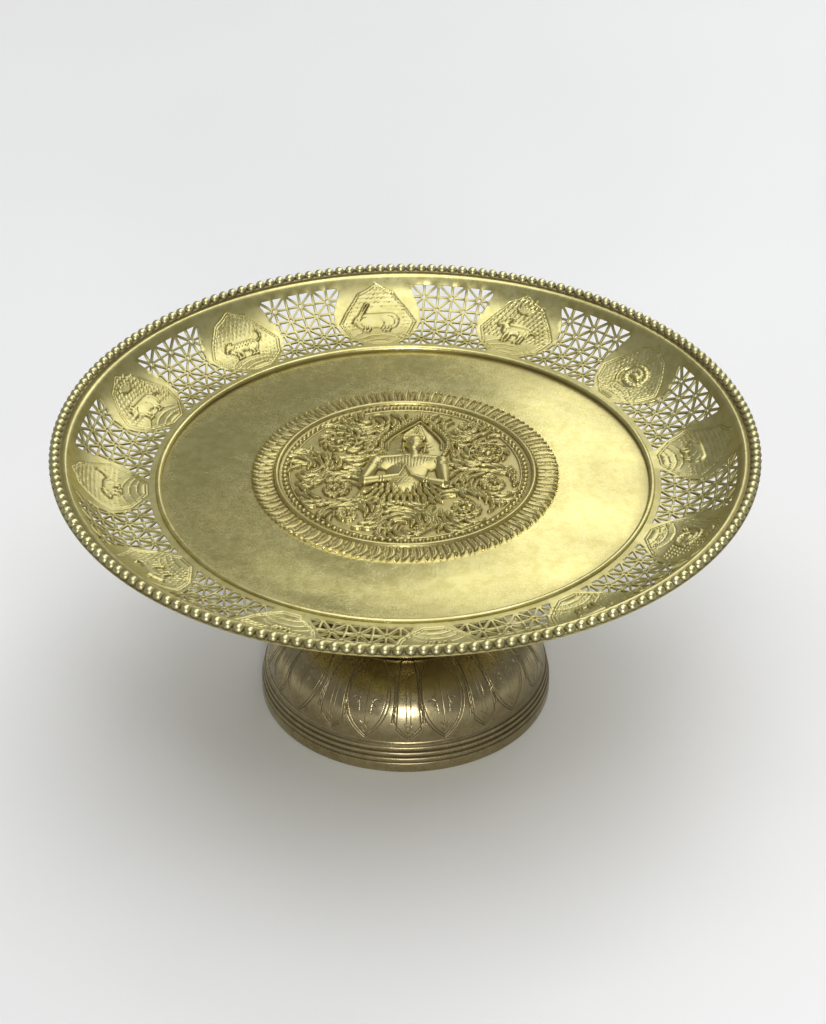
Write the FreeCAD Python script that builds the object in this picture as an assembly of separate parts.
import FreeCAD, Part
import math
import os

# Footed brass tray: a shallow round tray with a pierced, flared gallery and a beaded rim, carried on a
# waisted stem and a bell-shaped foot. A stud soldered under the floor runs down through the stem, and a
# nut inside the foot draws the whole stack together.
#
# Units are millimetres and degrees. The origin is the centre of the foot's base, on the table; +Z is up.
# An outline is a list of (radius, height) points, which is turned about Z.

# Overall sizes
TRAY_RADIUS = 150.0
OVERALL_HEIGHT = 131.3
FOOT_RADIUS = 64.5
FOOT_HEIGHT = 41.5

# Sheet thicknesses
TRAY_SHEET = 1.0
FOOT_SHEET = 1.2
BAND_SHEET = 2.2

# Band round the base of the foot
BAND_PLAIN_HEIGHT = 4.9
BAND_RIDGES = 3
BAND_RIDGE_PITCH = 2.55
BAND_RIDGE_BULGE = 0.45
BAND_RIDGE_STEP = 0.55
BAND_COLLAR_HEIGHT = 1.6
BAND_COLLAR_WIDTH = 1.2
BAND_LEDGE_WIDTH = 3.2
BAND_LEDGE_THICKNESS = 1.6

# Bell of the foot
BELL_SHOULDER_RADIUS = 23.0
BELL_MOUTH_RADIUS = 33.0

# Collar between the foot and the stem: two rounded beads and a spigot at each end
COLLAR_LAP = 6.6
COLLAR_BORE_RADIUS = 29.0
COLLAR_LOWER_BEAD = 1.6
COLLAR_UPPER_BEAD = 1.2
COLLAR_BEAD_STEP = 1.8
COLLAR_SPIGOT_HEIGHT = 2.0

# Stem
STEM_FOOT_RADIUS = 35.5
STEM_WAIST_RADIUS = 26.0
STEM_WAIST_HEIGHT = 19.0
STEM_TOP_RADIUS = 43.0
STEM_FLANGE_RADIUS = 47.0

# Fixing: plate under the floor, stud, clamp plate, lock washer and nut
PLATE_RADIUS = 48.0
PLATE_THICKNESS = 2.0
PLATE_SPIGOT_HEIGHT = 2.0
STUD_RADIUS = 3.0
STUD_HEAD_RADIUS = 8.0
STUD_HEAD_THICKNESS = 1.0
STUD_TAIL = 3.0
CLAMP_LAP = 4.0
CLAMP_THICKNESS = 2.0
WASHER_RADIUS = 5.5
WASHER_THICKNESS = 1.6
NUT_ACROSS_FLATS = 10.0
NUT_HEIGHT = 5.0

# Floor of the tray and its raised medallion
FLOOR_EDGE_LAP = 3.2
FLOOR_FLAT_WIDTH = 5.0
FLOOR_CROWN = 1.3
MEDALLION_RADIUS = 66.0
MEDALLION_BORDER_RISE = 1.3
MEDALLION_EDGE_WIDTH = 1.5
MEDALLION_RING_RADIUS = 55.0
MEDALLION_RING_WIDTH = 3.6
MEDALLION_RING_RISE = 1.6
MEDALLION_FIELD_RISE = 0.4

# Gallery: a rolled rib on a flat flange, then an arc that flares up to a crest and a lip
RIB_RADIUS = 1.25
GALLERY_FLANGE_WIDTH = 10.0
WALL_ARC_RADIUS = 32.0
WALL_SWEEP = 59.9
CREST_WIDTH = 2.8
CREST_RISE = 0.7
LIP_RISE = 1.15
LIP_WIDTH = 5.6
LIP_SHEET = 0.9
LIP_INSET = 0.3

# Pierced lattice between plain panels
PANELS = 12
PANEL_ANGLE = 6.0
LATTICE_PITCH = 6.05
LATTICE_MARGIN = 4.6
LATTICE_TOP_ANGLE = 4.3
STRUT_WIDTH = 1.1
HUB_HOLE_RADIUS = 0.8
LEAST_HOLE_SHARE = 1.5
PANEL_TOP_HALF_WIDTH = 5.7
PANEL_WAIST_HALF_WIDTH = 9.1
PANEL_FOOT_HALF_WIDTH = 4.5
PANEL_WAIST_SHARE = 0.45

# Beaded rim
RIM_STRIP_WIDTH = 4.7
RIM_STRIP_THICKNESS = 0.5
BEAD_RISE = 2.5
BEAD_PITCH = 4.8
BEAD_GAP = 0.5

# Fits
SPIGOT_CLEARANCE = 0.3
SEAT_CLEARANCE = 0.2
STUD_HOLE_CLEARANCE = 0.3
THREAD_CLEARANCE = 0.05

# Heights worked out from the sizes above, from the table up
BAND_RIDGE_TOP = BAND_PLAIN_HEIGHT + BAND_RIDGES * BAND_RIDGE_PITCH
COLLAR_BEADS_TOP = FOOT_HEIGHT + 2 * COLLAR_LOWER_BEAD + 2 * COLLAR_UPPER_BEAD
WAIST_Z = COLLAR_BEADS_TOP + STEM_WAIST_HEIGHT
LIP_Z = OVERALL_HEIGHT - BEAD_RISE - RIM_STRIP_THICKNESS
WALL_RISE = WALL_ARC_RADIUS * (1 - math.cos(math.radians(WALL_SWEEP)))
WALL_FOOT_Z = LIP_Z - LIP_RISE - WALL_RISE
FLOOR_EDGE_Z = WALL_FOOT_Z - TRAY_SHEET
FLOOR_CROWN_Z = FLOOR_EDGE_Z + FLOOR_CROWN
FIELD_Z = FLOOR_CROWN_Z + MEDALLION_FIELD_RISE
PLATE_TOP = FIELD_Z - TRAY_SHEET
STEM_TOP = PLATE_TOP - PLATE_THICKNESS
CLAMP_TOP = FOOT_HEIGHT - FOOT_SHEET
WASHER_TOP = CLAMP_TOP - CLAMP_THICKNESS
NUT_TOP = WASHER_TOP - WASHER_THICKNESS

# Radii worked out from the sizes above
COLLAR_RADIUS = BELL_MOUTH_RADIUS + COLLAR_LAP
CLAMP_RADIUS = BELL_MOUTH_RADIUS + CLAMP_LAP
DOME_RADIUS = FOOT_RADIUS - BAND_RIDGES * BAND_RIDGE_STEP - BAND_COLLAR_WIDTH - SEAT_CLEARANCE
CUTTER_REACH = 2 * TRAY_SHEET
WALL_FOOT_RADIUS = (TRAY_RADIUS - LIP_WIDTH - CREST_WIDTH
                    - WALL_ARC_RADIUS * math.sin(math.radians(WALL_SWEEP)))
GALLERY_INNER_RADIUS = WALL_FOOT_RADIUS - GALLERY_FLANGE_WIDTH
FLOOR_RADIUS = GALLERY_INNER_RADIUS + FLOOR_EDGE_LAP
WALL_CENTRE = (WALL_FOOT_RADIUS, WALL_FOOT_Z + WALL_ARC_RADIUS)


def point(radius, height):
    return FreeCAD.Vector(radius, 0, height)


def spun(start, *steps, sweep=360):
    """Turn a closed outline about Z. A step is an (r, z) end point joined by a straight line, or a pair
    of such points, joined by an arc through the first that ends at the second."""
    edges = []
    here = start
    for step in steps + (start,):
        if isinstance(step[0], tuple):
            through, end = step
            edges.append(Part.Arc(point(*here), point(*through), point(*end)).toShape())
        else:
            end = step
            edges.append(Part.LineSegment(point(*here), point(*end)).toShape())
        here = end
    face = Part.Face(Part.Wire(edges))
    return face.revolve(FreeCAD.Vector(), FreeCAD.Vector(0, 0, 1), sweep)


def on_circle(centre, radius, angle):
    """Point of a circle in the outline's plane, with the angle counted from straight down."""
    turn = math.radians(angle)
    return (centre[0] + radius * math.sin(turn), centre[1] - radius * math.cos(turn))


def turned(shape, angle):
    copy = shape.copy()
    copy.rotate(FreeCAD.Vector(), FreeCAD.Vector(0, 0, 1), angle)
    return copy


def foot_band():
    """Grooved band that stands on the table, with an inner ledge for the bell to sit on."""
    steps = [(FOOT_RADIUS, BAND_PLAIN_HEIGHT)]
    for ridge in range(BAND_RIDGES):
        low = BAND_PLAIN_HEIGHT + ridge * BAND_RIDGE_PITCH
        inner = FOOT_RADIUS - (ridge + 1) * BAND_RIDGE_STEP
        steps.append((inner, low))
        crest = (inner + BAND_RIDGE_BULGE, low + BAND_RIDGE_PITCH / 2)
        steps.append((crest, (inner, low + BAND_RIDGE_PITCH)))
    steps += [
        (DOME_RADIUS + SEAT_CLEARANCE, BAND_RIDGE_TOP + BAND_COLLAR_HEIGHT),
        (DOME_RADIUS + SEAT_CLEARANCE, BAND_RIDGE_TOP),
        (FOOT_RADIUS - BAND_SHEET - BAND_LEDGE_WIDTH, BAND_RIDGE_TOP),
        (FOOT_RADIUS - BAND_SHEET - BAND_LEDGE_WIDTH, BAND_RIDGE_TOP - BAND_LEDGE_THICKNESS),
        (FOOT_RADIUS - BAND_SHEET, BAND_RIDGE_TOP - BAND_LEDGE_THICKNESS),
        (FOOT_RADIUS - BAND_SHEET, 0),
    ]
    return spun((FOOT_RADIUS, 0), *steps)


def foot_bell():
    """Spun bell: upright at the band, then a quarter round up to a flat top with a round mouth."""
    centre = (DOME_RADIUS - BELL_SHOULDER_RADIUS, FOOT_HEIGHT - BELL_SHOULDER_RADIUS)
    inner = BELL_SHOULDER_RADIUS - FOOT_SHEET
    return spun(
        (DOME_RADIUS, BAND_RIDGE_TOP),
        on_circle(centre, BELL_SHOULDER_RADIUS, 90),
        (on_circle(centre, BELL_SHOULDER_RADIUS, 135), on_circle(centre, BELL_SHOULDER_RADIUS, 180)),
        (BELL_MOUTH_RADIUS, FOOT_HEIGHT),
        (BELL_MOUTH_RADIUS, CLAMP_TOP),
        on_circle(centre, inner, 180),
        (on_circle(centre, inner, 135), on_circle(centre, inner, 90)),
        (DOME_RADIUS - FOOT_SHEET, BAND_RIDGE_TOP),
    )


def neck_collar():
    """Turned collar on top of the bell, with spigots that centre the bell and the stem on it."""
    lower = COLLAR_RADIUS - COLLAR_LOWER_BEAD
    upper = lower - COLLAR_BEAD_STEP
    lower_top = FOOT_HEIGHT + 2 * COLLAR_LOWER_BEAD
    bell_spigot = BELL_MOUTH_RADIUS - SPIGOT_CLEARANCE
    spigot_top = COLLAR_BEADS_TOP + COLLAR_SPIGOT_HEIGHT
    stem_spigot = stem_wall(spigot_top, FOOT_SHEET)[0] - SPIGOT_CLEARANCE
    return spun(
        (COLLAR_BORE_RADIUS, CLAMP_TOP + SEAT_CLEARANCE),
        (bell_spigot, CLAMP_TOP + SEAT_CLEARANCE),
        (bell_spigot, FOOT_HEIGHT),
        (lower, FOOT_HEIGHT),
        ((COLLAR_RADIUS, FOOT_HEIGHT + COLLAR_LOWER_BEAD), (lower, lower_top)),
        (upper, lower_top),
        ((upper + COLLAR_UPPER_BEAD, lower_top + COLLAR_UPPER_BEAD), (upper, COLLAR_BEADS_TOP)),
        (stem_spigot, COLLAR_BEADS_TOP),
        (stem_spigot, spigot_top),
        (COLLAR_BORE_RADIUS, spigot_top),
    )


def waist_arc(end_radius, end_height):
    """Radius of an arc that is upright at the waist and passes through the given end."""
    across = end_radius - STEM_WAIST_RADIUS
    return (across ** 2 + end_height ** 2) / (2 * across)


def stem_wall(height, offset):
    """Point of the stem's surface at a height, with an offset towards the axis."""
    if height < WAIST_Z:
        arc = waist_arc(STEM_FOOT_RADIUS, STEM_WAIST_HEIGHT)
    else:
        arc = waist_arc(STEM_TOP_RADIUS, STEM_TOP - FOOT_SHEET - WAIST_Z)
    reach = arc + offset
    return (STEM_WAIST_RADIUS + arc - math.sqrt(reach ** 2 - (height - WAIST_Z) ** 2), height)


def stem():
    """Spun stem, two arcs that meet upright at the waist, with a flat flange at the top."""
    flange_z = STEM_TOP - FOOT_SHEET
    lower_mid = (COLLAR_BEADS_TOP + WAIST_Z) / 2
    upper_mid = (flange_z + WAIST_Z) / 2
    waist = (STEM_WAIST_RADIUS, WAIST_Z)
    waist_inside = (STEM_WAIST_RADIUS - FOOT_SHEET, WAIST_Z)
    return spun(
        (STEM_FOOT_RADIUS, COLLAR_BEADS_TOP),
        (stem_wall(lower_mid, 0), waist),
        (stem_wall(upper_mid, 0), (STEM_TOP_RADIUS, flange_z)),
        (STEM_FLANGE_RADIUS, flange_z),
        (STEM_FLANGE_RADIUS, STEM_TOP),
        stem_wall(STEM_TOP, FOOT_SHEET),
        (stem_wall(upper_mid, FOOT_SHEET), waist_inside),
        (stem_wall(lower_mid, FOOT_SHEET), stem_wall(COLLAR_BEADS_TOP, FOOT_SHEET)),
    )


def mounting_plate():
    """Plate soldered under the floor; its spigot centres the stem, and its recess holds the stud's head."""
    spigot_end = STEM_TOP - PLATE_SPIGOT_HEIGHT
    spigot = stem_wall(spigot_end, FOOT_SHEET)[0] - SPIGOT_CLEARANCE
    return spun(
        (STUD_RADIUS, spigot_end),
        (spigot, spigot_end),
        (spigot, STEM_TOP),
        (PLATE_RADIUS, STEM_TOP),
        (PLATE_RADIUS, PLATE_TOP),
        (STUD_HEAD_RADIUS, PLATE_TOP),
        (STUD_HEAD_RADIUS, PLATE_TOP - STUD_HEAD_THICKNESS),
        (STUD_RADIUS, PLATE_TOP - STUD_HEAD_THICKNESS),
    )


def centre_stud():
    """Stud with a flat head that the plate holds captive under the floor."""
    tail = NUT_TOP - NUT_HEIGHT - STUD_TAIL
    return spun(
        (0, tail),
        (STUD_RADIUS, tail),
        (STUD_RADIUS, PLATE_TOP - STUD_HEAD_THICKNESS),
        (STUD_HEAD_RADIUS, PLATE_TOP - STUD_HEAD_THICKNESS),
        (STUD_HEAD_RADIUS, PLATE_TOP),
        (0, PLATE_TOP),
    )


def flat_ring(bore, radius, bottom, top):
    return spun((bore, bottom), (radius, bottom), (radius, top), (bore, top))


def clamp_plate():
    """Round plate that bears on the underside of the bell's flat top."""
    return flat_ring(STUD_RADIUS + STUD_HOLE_CLEARANCE, CLAMP_RADIUS, WASHER_TOP, CLAMP_TOP)


def lock_washer():
    return flat_ring(STUD_RADIUS + STUD_HOLE_CLEARANCE, WASHER_RADIUS, NUT_TOP, WASHER_TOP)


def clamp_nut():
    """Hexagon nut with its corners turned down on the free side."""
    corner = NUT_ACROSS_FLATS / math.sqrt(3)
    bottom = NUT_TOP - NUT_HEIGHT
    outline = [FreeCAD.Vector(corner, 0, bottom)]
    for side in range(1, 7):
        turn = math.radians(60 * side)
        outline.append(FreeCAD.Vector(corner * math.cos(turn), corner * math.sin(turn), bottom))
    prism = Part.Face(Part.makePolygon(outline)).extrude(FreeCAD.Vector(0, 0, NUT_HEIGHT))
    chamfer = corner - NUT_ACROSS_FLATS / 2
    blank = spun(
        (STUD_RADIUS + THREAD_CLEARANCE, bottom),
        (corner - chamfer, bottom),
        (corner, bottom + chamfer),
        (corner, NUT_TOP),
        (STUD_RADIUS + THREAD_CLEARANCE, NUT_TOP),
    )
    return prism.common(blank)


def tray_floor():
    """Spun floor: level at the edge, gently crowned, with the medallion's ring and border raised."""
    flat_radius = GALLERY_INNER_RADIUS - FLOOR_FLAT_WIDTH
    border_z = FLOOR_CROWN_Z + MEDALLION_BORDER_RISE
    ring_inner = MEDALLION_RING_RADIUS - MEDALLION_RING_WIDTH / 2
    ring_outer = MEDALLION_RING_RADIUS + MEDALLION_RING_WIDTH / 2
    border_outer = MEDALLION_RADIUS - MEDALLION_EDGE_WIDTH
    crest_z = FIELD_Z + MEDALLION_RING_RISE
    return spun(
        (0, FIELD_Z),
        (ring_inner, FIELD_Z),
        ((MEDALLION_RING_RADIUS, crest_z), (ring_outer, border_z)),
        (border_outer, border_z),
        (MEDALLION_RADIUS, FLOOR_CROWN_Z),
        (flat_radius, FLOOR_EDGE_Z),
        (FLOOR_RADIUS, FLOOR_EDGE_Z),
        (FLOOR_RADIUS, FLOOR_EDGE_Z - TRAY_SHEET),
        (flat_radius, FLOOR_EDGE_Z - TRAY_SHEET),
        (MEDALLION_RADIUS - TRAY_SHEET, FLOOR_CROWN_Z - TRAY_SHEET),
        (border_outer - TRAY_SHEET, border_z - TRAY_SHEET),
        (ring_outer, border_z - TRAY_SHEET),
        ((MEDALLION_RING_RADIUS, crest_z - TRAY_SHEET), (ring_inner + TRAY_SHEET, FIELD_Z - TRAY_SHEET)),
        (0, FIELD_Z - TRAY_SHEET),
    )


def gallery_sector():
    """One panel's share of the unpierced gallery, starting at the +X side."""
    under_z = WALL_FOOT_Z - TRAY_SHEET
    under_arc = WALL_ARC_RADIUS + TRAY_SHEET
    wall_top = on_circle(WALL_CENTRE, WALL_ARC_RADIUS, WALL_SWEEP)
    crest = (wall_top[0] + CREST_WIDTH / 2, LIP_Z + CREST_RISE)
    lip_start = wall_top[0] + CREST_WIDTH
    lip_end = TRAY_RADIUS - LIP_INSET
    rib = GALLERY_INNER_RADIUS + RIB_RADIUS
    return spun(
        (GALLERY_INNER_RADIUS, under_z),
        (GALLERY_INNER_RADIUS, WALL_FOOT_Z),
        ((rib, WALL_FOOT_Z + RIB_RADIUS), (rib + RIB_RADIUS, WALL_FOOT_Z)),
        (WALL_FOOT_RADIUS, WALL_FOOT_Z),
        (on_circle(WALL_CENTRE, WALL_ARC_RADIUS, WALL_SWEEP / 2), wall_top),
        (crest, (lip_start, LIP_Z)),
        (lip_end, LIP_Z),
        (lip_end, LIP_Z - LIP_SHEET),
        (lip_start, LIP_Z - LIP_SHEET),
        on_circle(WALL_CENTRE, under_arc, WALL_SWEEP),
        (on_circle(WALL_CENTRE, under_arc, WALL_SWEEP / 2), (WALL_FOOT_RADIUS, under_z)),
        sweep=360 / PANELS,
    )


def wall_point(angle, distance):
    """Point of the wall's upper face, by angle about Z and distance up the wall from the lattice's foot."""
    along = distance + LATTICE_MARGIN - (WALL_FOOT_RADIUS - GALLERY_INNER_RADIUS)
    if along <= 0:
        radius, height = WALL_FOOT_RADIUS + along, WALL_FOOT_Z
    else:
        radius, height = on_circle(WALL_CENTRE, WALL_ARC_RADIUS, math.degrees(along / WALL_ARC_RADIUS))
    turn = math.radians(angle)
    return FreeCAD.Vector(radius * math.cos(turn), radius * math.sin(turn), height)


def lattice_rows():
    """Number of rows of cells that fit up the wall, and the height of one along the wall."""
    length = (WALL_FOOT_RADIUS - GALLERY_INNER_RADIUS - LATTICE_MARGIN
              + WALL_ARC_RADIUS * math.radians(WALL_SWEEP - LATTICE_TOP_ANGLE))
    rows = round(length / LATTICE_PITCH)
    return rows, length / rows


def lattice_columns():
    """Odd number of columns of cells from one panel's middle to the next, and the angle of one."""
    middle = on_circle(WALL_CENTRE, WALL_ARC_RADIUS, WALL_SWEEP / 2)[0]
    across = 2 * math.pi * middle / PANELS
    columns = 2 * math.floor(across / LATTICE_PITCH / 2) + 1
    return columns, 360 / PANELS / columns


def panel_half_width(share):
    """Half angle of a plain panel at a share of the lattice's height: narrow, widest low down, narrow."""
    if share < PANEL_WAIST_SHARE:
        rise = share / PANEL_WAIST_SHARE
        return PANEL_FOOT_HALF_WIDTH + (PANEL_WAIST_HALF_WIDTH - PANEL_FOOT_HALF_WIDTH) * rise
    rise = (share - PANEL_WAIST_SHARE) / (1 - PANEL_WAIST_SHARE)
    return PANEL_WAIST_HALF_WIDTH + (PANEL_TOP_HALF_WIDTH - PANEL_WAIST_HALF_WIDTH) * rise


def shrunk(corners, margin):
    """A triangle moved in by a margin on all sides, or nothing if too little of it is left."""
    sides = [(corners[i - 2] - corners[i - 1]).Length for i in range(3)]
    outline = sum(sides)
    middle = (corners[0] * sides[0] + corners[1] * sides[1] + corners[2] * sides[2]) * (1 / outline)
    inner_circle = (corners[1] - corners[0]).cross(corners[2] - corners[0]).Length / outline
    if inner_circle < LEAST_HOLE_SHARE * margin:
        return None
    return [middle + (corner - middle) * (1 - margin / inner_circle) for corner in corners]


def through_wall(corners):
    """Prism on a triangle that passes right through the wall, square to it."""
    normal = (corners[1] - corners[0]).cross(corners[2] - corners[0]).normalize()
    start = [corner - normal * CUTTER_REACH for corner in corners]
    return Part.Face(Part.makePolygon(start + start[:1])).extrude(normal * 2 * CUTTER_REACH)


def lattice_holes():
    """Cutters for one field of the lattice: two triangles a cell, and a round hole at each hub."""
    rows, row_height = lattice_rows()
    columns, column_angle = lattice_columns()
    reach = (columns - 1) // 2
    middle_angle = 180 / PANELS

    def node(column, row):
        return wall_point(middle_angle + column * column_angle, row * row_height)

    def clear_of_panel(column, row):
        return 180 / PANELS - abs(column) * column_angle >= panel_half_width(row / rows)

    cutters = []
    for row in range(rows):
        for column in range(-reach, reach):
            corners = [(column, row), (column + 1, row), (column + 1, row + 1), (column, row + 1)]
            if not all(clear_of_panel(*corner) for corner in corners):
                continue
            if (column + row) % 2:
                halves = [corners[:3], [corners[0], corners[2], corners[3]]]
            else:
                halves = [[corners[0], corners[1], corners[3]], corners[1:]]
            for half in halves:
                hole = shrunk([node(*corner) for corner in half], STRUT_WIDTH / 2)
                if hole:
                    cutters.append(through_wall(hole))
    for row in range(1, rows):
        for column in range(-reach, reach + 1):
            if (column + row) % 2 and clear_of_panel(abs(column) + 1, row):
                centre = node(column, row)
                normal = (node(column + 1, row) - centre).cross(node(column, row + 1) - centre).normalize()
                start = centre - normal * CUTTER_REACH
                cutters.append(Part.makeCylinder(HUB_HOLE_RADIUS, 2 * CUTTER_REACH, start, normal))
    return cutters


def pierced_gallery():
    """Flared wall of the tray: plain panels with fields of pierced lattice between them."""
    pierced = gallery_sector().cut(lattice_holes())
    sectors = [turned(pierced, PANEL_ANGLE + 360 / PANELS * sector) for sector in range(PANELS)]
    return sectors[0].fuse(sectors[1:]).Solids[0]


def beaded_rim():
    """Flat strip on the lip with a row of near half-round beads struck in it."""
    strip_top = LIP_Z + RIM_STRIP_THICKNESS
    strip_inner = TRAY_RADIUS - RIM_STRIP_WIDTH
    bead_circle = (strip_inner + TRAY_RADIUS) / 2
    beads_per_panel = round(2 * math.pi * bead_circle / PANELS / BEAD_PITCH)
    bead_angle = 360 / PANELS / beads_per_panel
    bead_radius = math.pi * bead_circle / PANELS / beads_per_panel - BEAD_GAP / 2
    straight = BEAD_RISE - bead_radius
    strip = spun(
        (strip_inner, LIP_Z), (TRAY_RADIUS, LIP_Z), (TRAY_RADIUS, strip_top), (strip_inner, strip_top),
        sweep=360 / PANELS,
    )
    post = Part.makeCylinder(bead_radius, straight, point(bead_circle, strip_top))
    cap_base = point(bead_circle, strip_top + straight)
    cap = Part.makeSphere(bead_radius, cap_base, FreeCAD.Vector(0, 0, 1), 0, 90, 360)
    bead = post.fuse(cap)
    beads = [turned(bead, (count + 0.5) * bead_angle) for count in range(beads_per_panel)]
    sector = strip.fuse(beads)
    sectors = [turned(sector, PANEL_ANGLE + 360 / PANELS * panel) for panel in range(PANELS)]
    return sectors[0].fuse(sectors[1:]).Solids[0]


NODES = {
    "foot_band": foot_band,
    "foot_bell": foot_bell,
    "neck_collar": neck_collar,
    "stem": stem,
    "mounting_plate": mounting_plate,
    "centre_stud": centre_stud,
    "clamp_plate": clamp_plate,
    "lock_washer": lock_washer,
    "clamp_nut": clamp_nut,
    "tray_floor": tray_floor,
    "pierced_gallery": pierced_gallery,
    "beaded_rim": beaded_rim,
}

os.makedirs("parts", exist_ok=True)
for name, build in NODES.items():
    build().exportStep("parts/" + name + ".step")
